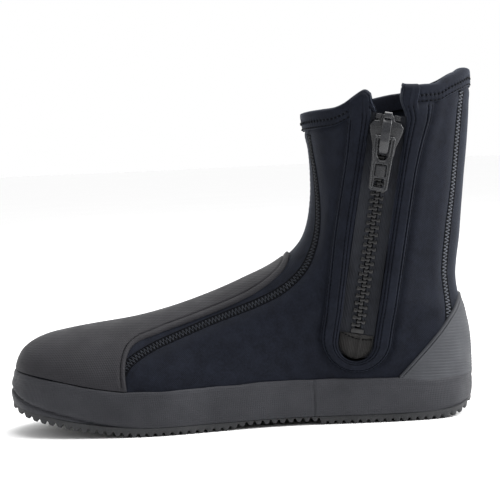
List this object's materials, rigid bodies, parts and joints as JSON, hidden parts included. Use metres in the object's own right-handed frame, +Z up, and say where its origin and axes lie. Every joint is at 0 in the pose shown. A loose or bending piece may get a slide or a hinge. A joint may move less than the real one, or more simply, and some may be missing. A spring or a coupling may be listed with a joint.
{
  "type": "neoprene boot",
  "caption": "High-cut neoprene dive boot for the right foot, with a side zip, a rubber toe guard, heel counter and foxing band, and a treaded rubber sole.",
  "frame": {"origin": "middle of the footprint's box on the surface that the sole stands on", "axes": "+Z up, -X towards the toe, +X towards the heel, -Y towards the zip on the inner side of the foot"},
  "size_m": [0.2963, 0.1083, 0.2178],
  "materials": {
    "neoprene": "smooth nylon jersey laminated on closed-cell neoprene, matt with a faint sheen",
    "textured_rubber": "matt moulded rubber with a fine diamond grain",
    "sole_rubber": "matt vulcanised rubber",
    "zip_tape": "woven polyester tape, slightly glossy",
    "zip_plastic": "moulded acetal teeth, glossy",
    "slider_plastic": "moulded plastic, satin",
    "lining": "thin stretch jersey",
    "board": "pressed fibre board",
    "foam": "closed-cell foam",
    "footbed": "jersey over foam"
  },
  "bodies": {
    "boot": {"outsole": "sole_rubber", "midsole": "foam", "lasting_board": "board", "insole": "footbed", "foxing_band": "textured_rubber", "toe_guard": "textured_rubber", "heel_counter": "textured_rubber", "front_panel": "neoprene", "medial_quarter": "neoprene", "lateral_quarter": "neoprene", "back_panel": "neoprene", "seam_tape_front": "lining", "seam_tape_back": "lining", "collar_binding": "neoprene", "zip_facing": "neoprene", "zip_gusset": "lining", "zip_tape_front": "zip_tape", "zip_tape_rear": "zip_tape", "zip_teeth_front": "zip_plastic", "zip_teeth_rear": "zip_plastic", "zip_top_stops": "slider_plastic", "zip_bottom_stop": "zip_plastic", "zip_end_patch": "zip_tape"},
    "slider": {"slider_body": "slider_plastic", "slider_back_plate": "slider_plastic", "slider_bridge": "slider_plastic"},
    "pull": {"pull_tab": "slider_plastic"}
  },
  "joints": [
    {"name": "slider_slide", "type": "slide", "parent": "boot", "child": "slider", "axis": [-0.1822, 0.0236, -0.983], "range_m": [0, 0.105]},
    {"name": "pull_hinge", "type": "hinge", "parent": "slider", "child": "pull", "pos_m": [0.08937, -0.04372, 0.1734], "axis": [-0.9774, 0.1045, 0.1837], "range_deg": [0, 150]}
  ]
}
